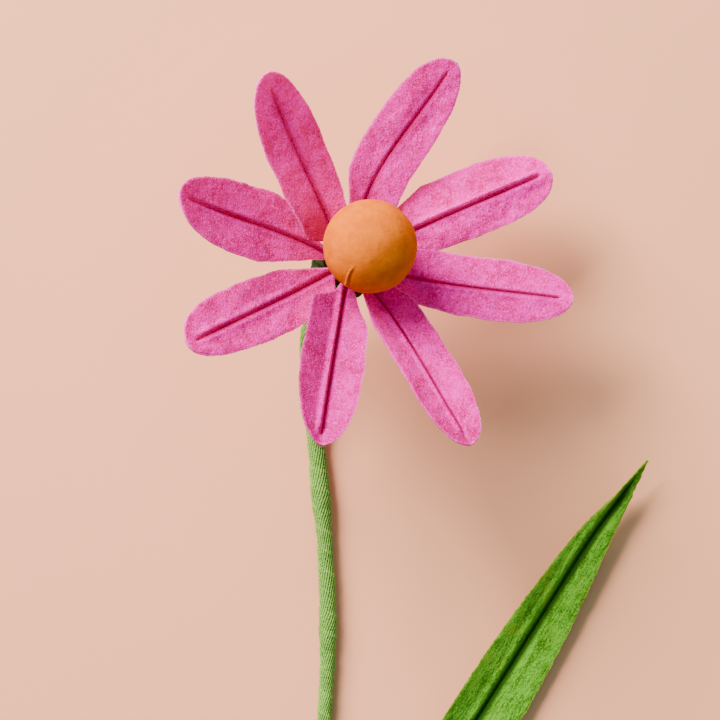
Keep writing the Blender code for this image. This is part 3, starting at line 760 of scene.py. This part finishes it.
HUB_TAPER = 18 * MM
HUB_BORE = 2.6 * MM  # radius of the hollow that holds the petal wires
BORE_NARROWS, BORE_NARROW = 8.8 * MM, 12 * MM
LUMPS = [  # extra radius where the tape is thicker, by the height on the drawing, all in mm
    (-240, 0.0), (-205, 0.05), (-190, 0.22), (-176, 0.0), (-130, 0.1), (-118, -0.05), (-104, 0.2), (-92, 0.0),
    (-80, -0.2), (-66, -0.15), (-59, 0.2), (-52, 0.08), (-40, -0.12), (-31, 0.38), (-20, 0.1), (-6, 0.0),
]
THREADS = 20
THREAD_SLANT = 0.34  # twice the threads' turn round the stem, in radians for each mm along it
THREAD_HEIGHT = 0.11 * MM
TAPE_PITCH = 4.6 * MM
TAPE_STEP = 0.2 * MM  # where one turn laps the last
SAME_PLACE = 0.0005 * MM  # points this close are merged
STEM_SIDES, STEM_ROWS, BORE_ROWS = 88, 900, 90


def hub_radius(behind):
    """The tape's outer radius, by the distance along the stem behind the petals."""
    if behind < HUB_FULL:
        return HUB_RADIUS - HUB_SHOULDER * smooth_step(HUB_FULL - behind, 0.0, HUB_SHOULDER_LENGTH)
    narrowed = smooth_step((behind - HUB_FULL) / HUB_TAPER) ** 0.8
    return HUB_RADIUS + (STEM_RADIUS - HUB_RADIUS) * narrowed


def hub_bore(behind):
    return HUB_BORE + (BORE_RADIUS - HUB_BORE) * smooth_step(behind, BORE_NARROWS, BORE_NARROW)


hub_points = [head_point + axis * d for d in HUB_LINE]
stem_curve = smooth_path(hub_points + [Vector(p) * MM + to_frame for p in STEM_POINTS], 24)
stem_fine = spaced(stem_curve, 1200)
stem_length = sum((b - a).length for a, b in zip(stem_fine, stem_fine[1:]))
print("stem length in mm:", round(stem_length / MM, 1))


# %% [markdown]
# A grid rolled into a tube keeps the rows and columns tidy, so the threads can be ribs in the mesh. The rows
# go down the outside and come back through the bore, and one bridge joins the last ring to the first.

# %% Make the stem tape
def turned_frames(points):
    """(point, side, up) along a line, each side turned as little as possible from the last."""
    found, side = [], Vector((1, 0, 0))
    for i, point in enumerate(points):
        ahead = (points[min(i + 1, len(points) - 1)] - points[max(i - 1, 0)]).normalized()
        side = (side - ahead * side.dot(ahead)).normalized()
        found.append((point, side, ahead.cross(side)))
    return found


def make_stem():
    frames = turned_frames(stem_fine)
    step = stem_length / (len(stem_fine) - 1)

    def frame_at(distance):
        x = min(max(distance / step, 0.0), len(frames) - 1.001)
        i = int(x)
        a, b = frames[i], frames[i + 1]
        return [p.lerp(q, x - i) for p, q in zip(a, b)]

    def outside(row):
        """Closer rows on the hub, where the ribs curve."""
        return WRAP_START + (stem_length - WRAP_START) * row / STEM_ROWS

    stops = [(outside(i), False) for i in range(STEM_ROWS + 1)]
    stops += [(blend(stem_length, WRAP_START, i / BORE_ROWS), True) for i in range(BORE_ROWS + 1)]
    placed = [frame_at(distance) for distance, _ in stops]
    bm = bmesh.new()
    bm.verts.layers.float.new("rib")
    bm.verts.layers.float.new("shade")
    along_layer = bm.verts.layers.float_vector.new("along")
    rib_layer, shade_layer = bm.verts.layers.float["rib"], bm.verts.layers.float["shade"]
    grid = bmesh.ops.create_grid(bm, x_segments=STEM_SIDES, y_segments=len(stops) - 1, size=1.0)["verts"]
    for vert in grid:
        column = round((vert.co.x + 1) / 2 * STEM_SIDES)
        row = round((vert.co.y + 1) / 2 * (len(stops) - 1))
        distance, is_bore = stops[row]
        point, side, up = placed[row]
        angle = 2 * math.pi * (column % STEM_SIDES) / STEM_SIDES
        out = side * math.cos(angle) + up * math.sin(angle)
        if is_bore:
            vert.co = point + out * hub_bore(distance)
            continue
        slant = THREAD_SLANT * distance / MM + 1.2 * noise.noise(Vector((distance / (16 * MM), 2.2, 0)))
        thread = math.cos(THREADS * (angle - slant / 2))
        lap = (angle / (2 * math.pi) + distance / TAPE_PITCH) % 1.0
        lift = smooth_step(lap, 0.0, 0.06) * (1 - lap) ** 1.2
        radius = hub_radius(distance) + level_between(LUMPS, (point - to_frame).y / MM) * MM
        wobble = noise.noise(point / (5 * MM) + out * 0.4) * 0.14 * MM
        ragged = noise.noise(point / (0.7 * MM) + out * 4) * 0.04 * MM
        radius += wobble + ragged + TAPE_STEP * lift + THREAD_HEIGHT * thread - 0.12 * MM
        vert.co = point + out * radius
        vert.co.z = max(vert.co.z, TABLE_CLEARANCE)
        vert[rib_layer] = 0.5 + 0.5 * thread
        # Painted shade: full on the hub, gone by 20 mm down the stem.
        vert[shade_layer] = 1 - smooth_step(distance, 9 * MM, 20 * MM)
        vert[along_layer] = (angle * STEM_RADIUS + slant * STEM_RADIUS / 2, distance, 0.0)
    bmesh.ops.remove_doubles(bm, verts=bm.verts[:], dist=SAME_PLACE)
    ends = [edge for edge in bm.edges if edge.is_boundary]
    bmesh.ops.bridge_loops(bm, edges=ends)
    bmesh.ops.recalc_face_normals(bm, faces=bm.faces[:])
    piece = finished(bm, "stem_tape_wound", tape_finish, sharp=70)
    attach(piece, "root")
    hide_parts("stem_wrap")


make_stem()


# %% [markdown]
# A few turns of the same tape hold the leaf's foot against the stem. They pass round both, so the outline is
# two half circles joined by straight sides.

# %% Make the leaf's binding
BINDING_SIDES, BINDING_ROWS = 96, 44
BINDING_WALL = 0.5 * MM
BINDING_THREADS, BINDING_TURNS = 30, 3.2


def make_binding():
    low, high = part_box("leaf_binding")
    level = (low.z + high.z) / 2
    radius = (high.z - low.z) / 2
    left, right = low.x + radius, high.x - radius
    straight, round_half = right - left, math.pi * radius

    def outline(share):
        """The x of the middle line and the outward (x, z) direction at a share of the way round."""
        run = share * 2 * (straight + round_half)
        if run < straight:
            return left + run, 0.0, 1.0
        if run < straight + round_half:
            turn = math.pi / 2 - (run - straight) / radius
            return right, math.cos(turn), math.sin(turn)
        run -= straight + round_half
        if run < straight:
            return right - run, 0.0, -1.0
        turn = -math.pi / 2 - (run - straight) / radius
        return left, math.cos(turn), math.sin(turn)

    stops = [(i / BINDING_ROWS, False) for i in range(BINDING_ROWS + 1)]
    stops += [(1.0, True), (0.5, True), (0.0, True)]
    bm = bmesh.new()
    rib_layer = bm.verts.layers.float.new("rib")
    along_layer = bm.verts.layers.float_vector.new("along")
    grid = bmesh.ops.create_grid(bm, x_segments=BINDING_SIDES, y_segments=len(stops) - 1, size=1.0)["verts"]
    for vert in grid:
        column = round((vert.co.x + 1) / 2 * BINDING_SIDES)
        share = (column % BINDING_SIDES) / BINDING_SIDES
        along, inside = stops[round((vert.co.y + 1) / 2 * (len(stops) - 1))]
        x, out_x, out_z = outline(share)
        away = radius - BINDING_WALL if inside else radius - TAPE_STEP
        thread = math.cos(BINDING_THREADS * 2 * math.pi * (share + along * 0.12))
        if not inside:
            lap = (share + along * BINDING_TURNS) % 1.0
            away += TAPE_STEP * smooth_step(lap, 0.0, 0.06) * (1 - lap)
            away += 0.07 * MM * thread
            away -= TAPE_STEP * smooth_step(abs(along - 0.5), 0.44, 0.5)
        y = blend(low.y, high.y, along)
        vert.co = Vector((x + out_x * away, y, level + out_z * away))
        vert[rib_layer] = 0.5 + 0.5 * thread
        vert[along_layer] = (share * 12 * MM, along * 8 * MM, 0.0)
    bmesh.ops.remove_doubles(bm, verts=bm.verts[:], dist=SAME_PLACE)
    bmesh.ops.bridge_loops(bm, edges=[edge for edge in bm.edges if edge.is_boundary])
    bmesh.ops.recalc_face_normals(bm, faces=bm.faces[:])
    piece = finished(bm, "leaf_binding_wound", tape_finish)
    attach(piece, "root")
    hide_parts("leaf_binding")


make_binding()


# %% [markdown]
# The ball's cover is one piece of paper pulled over the ball and gathered behind it. Spinning half an
# outline gives the round shell. One small tuck, where the spare paper was pinched together, is pushed out
# of it low on the left: a thin ridge with a shallow valley beside it, ending in a tiny turned-up lip.

# %% Make the ball's cover
COVER_WALL = 0.6 * MM
COVER_STEPS, COVER_TURNS, INNER_STEPS = 120, 240, 24
TUCK_START = Vector((-0.33, -0.44))  # across the ball, as shares of its radius, seen from above
TUCK_END = Vector((-0.50, -0.80))


def make_cover():
    def arc(radius, start, steps):
        turns = [blend(start, math.pi, i / steps) for i in range(steps + 1)]
        return [Vector((radius * math.sin(t), 0.0, BALL_HEIGHT - radius * math.cos(t))) for t in turns]

    neck, bore, neck_end = 1.95 * MM, 1.3 * MM, 0.9 * MM
    inner = BALL_RADIUS - COVER_WALL
    outside = arc(BALL_RADIUS, math.asin(neck / BALL_RADIUS), COVER_STEPS)
    inside = arc(inner, math.asin(bore / inner), INNER_STEPS)
    outside[-1].x = inside[-1].x = 0.0
    rims = [Vector((neck, 0.0, neck_end)), Vector((bore, 0.0, neck_end))]
    profile = outside[::-1] + rims + inside
    bm = bmesh.new()
    verts = [bm.verts.new(p) for p in profile]
    edges = [bm.edges.new(pair) for pair in zip(verts, verts[1:])]
    bmesh.ops.spin(bm, geom=verts + edges, cent=(0, 0, 0), axis=(0, 0, 1), angle=2 * math.pi,
                   steps=COVER_TURNS, use_merge=True)
    bmesh.ops.remove_doubles(bm, verts=bm.verts[:], dist=0.001 * MM)
    bm.verts.layers.float.new("tuck")
    bm.verts.layers.float.new("crease")
    tuck_layer, crease_layer = bm.verts.layers.float["tuck"], bm.verts.layers.float["crease"]
    ridge = (TUCK_END - TUCK_START).normalized()
    long = (TUCK_END - TUCK_START).length
    for vert in bm.verts:
        spot = head_point + lean @ vert.co
        out = spot - ball_middle
        if out.length > BALL_RADIUS - COVER_WALL / 2:
            out.normalize()
            over = Vector((out.x, out.y)) - TUCK_START
            down = over.dot(ridge) / long
            # In mm, and more than nothing on the left of the ridge.
            beside = (over.x * ridge.y - over.y * ridge.x) * BALL_RADIUS / MM
            reach = smooth_step(down, -0.15, 0.5) * (1 - smooth_step(down, 1.0, 1.12)) * (out.z > 0)
            bent = beside - 0.35 * math.sin(max(0.0, down) * math.pi)
            crest = bump(bent, 0.0, 0.2) * reach
            valley = bump(bent, -0.45, 0.4) * reach
            lip = math.exp(-(((down - 1.0) / 0.1) ** 2) - ((beside + 0.1) / 0.5) ** 2) * (out.z > 0)
            lift = 0.26 * crest - 0.13 * valley + 0.24 * lip
            lift += 0.14 * noise.noise(out * 2.3) + 0.03 * noise.noise(out * 9)
            spot += out * lift * MM
            # The ridge and lip carry a painted highlight, the valley painted shade.
            vert[tuck_layer] = min(1.0, crest + lip)
            vert[crease_layer] = min(1.0, valley)
        vert.co = spot
    bmesh.ops.recalc_face_normals(bm, faces=bm.faces[:])
    piece = finished(bm, "ball_cover_paper", cover_finish)
    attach(piece, "root")
    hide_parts("ball_cover")


make_cover()

# %% [markdown]
# The wires and the pressed ball keep their CAD shapes, because those are already right. They only get their
# finishes.

# %% Finish the pieces that keep their CAD shape
for node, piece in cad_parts.items():
    if "wire" in node:
        piece.data.materials.clear()
        piece.data.materials.append(wire_finish)
    if node == "ball_core":
        piece.data.materials.clear()
        piece.data.materials.append(cotton_finish)
print("wires:", sum("wire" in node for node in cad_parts))


# %% [markdown]
# The flower lies on a pale pink table. The table is one large plain sheet with a hint of paper grain.

# %% The table
TABLE_DEEP, TABLE_LIGHT = (0.87, 0.335, 0.175), (0.88, 0.345, 0.185)


def table_paper():
    table = Finish("pale_table", Roughness=0.9, Specular_IOR_Level=0.15)
    grain = table.noise(table.place(), 0.12, 3.0)
    pale = table.colours(grain, TABLE_DEEP, TABLE_LIGHT)
    return table.done(Base_Color=pale)


bm = bmesh.new()
bmesh.ops.create_grid(bm, x_segments=8, y_segments=8, size=3.0)
floor = finished(bm, "table", table_paper())

# %% [markdown]
# The camera looks straight down from well above, as for a flat lay. One large soft lamp stands low at the
# upper left and throws the long soft shadows, and the light of the room fills them.

# %% Camera and lights
CAMERA_HEIGHT = 650 * MM
LENS, SENSOR = 143.8, 36.0
view_middle = to_frame.copy()

lens = bpy.data.cameras.new("overhead_camera")
lens.lens, lens.sensor_width = LENS, SENSOR
camera = bpy.data.objects.new("overhead_camera", lens)
camera.location = (view_middle.x, view_middle.y, CAMERA_HEIGHT + to_frame.z)
bpy.context.scene.collection.objects.link(camera)
bpy.context.scene.camera = camera


def soft_lamp(name, direction, distance, size, power, colour):
    """A square lamp that faces the flower from this direction."""
    lamp = bpy.data.lights.new(name, "AREA")
    lamp.size, lamp.energy, lamp.color = size, power, colour
    obj = bpy.data.objects.new(name, lamp)
    towards = Vector(direction).normalized()
    obj.location = Vector((view_middle.x, view_middle.y, 0.0)) + towards * distance
    obj.rotation_euler = towards.to_track_quat("Z", "Y").to_euler()
    bpy.context.scene.collection.objects.link(obj)


KEY_HEIGHT = math.radians(34)
KEY_DISTANCE, KEY_SIZE, KEY_POWER = 1.35, 0.78, 86.0
ROOM_COLOUR, ROOM_STRENGTH = (0.58, 0.98, 1.0, 1.0), 0.58
key_direction = (-0.62 * math.cos(KEY_HEIGHT), 0.78 * math.cos(KEY_HEIGHT), math.sin(KEY_HEIGHT))
soft_lamp("window_lamp", key_direction, KEY_DISTANCE, KEY_SIZE, KEY_POWER, (1.0, 1.0, 1.0))

world = bpy.data.worlds.new("room")
world.use_nodes = True
background = world.node_tree.nodes["Background"]
background.inputs["Color"].default_value = ROOM_COLOUR
background.inputs["Strength"].default_value = ROOM_STRENGTH
bpy.context.scene.world = world
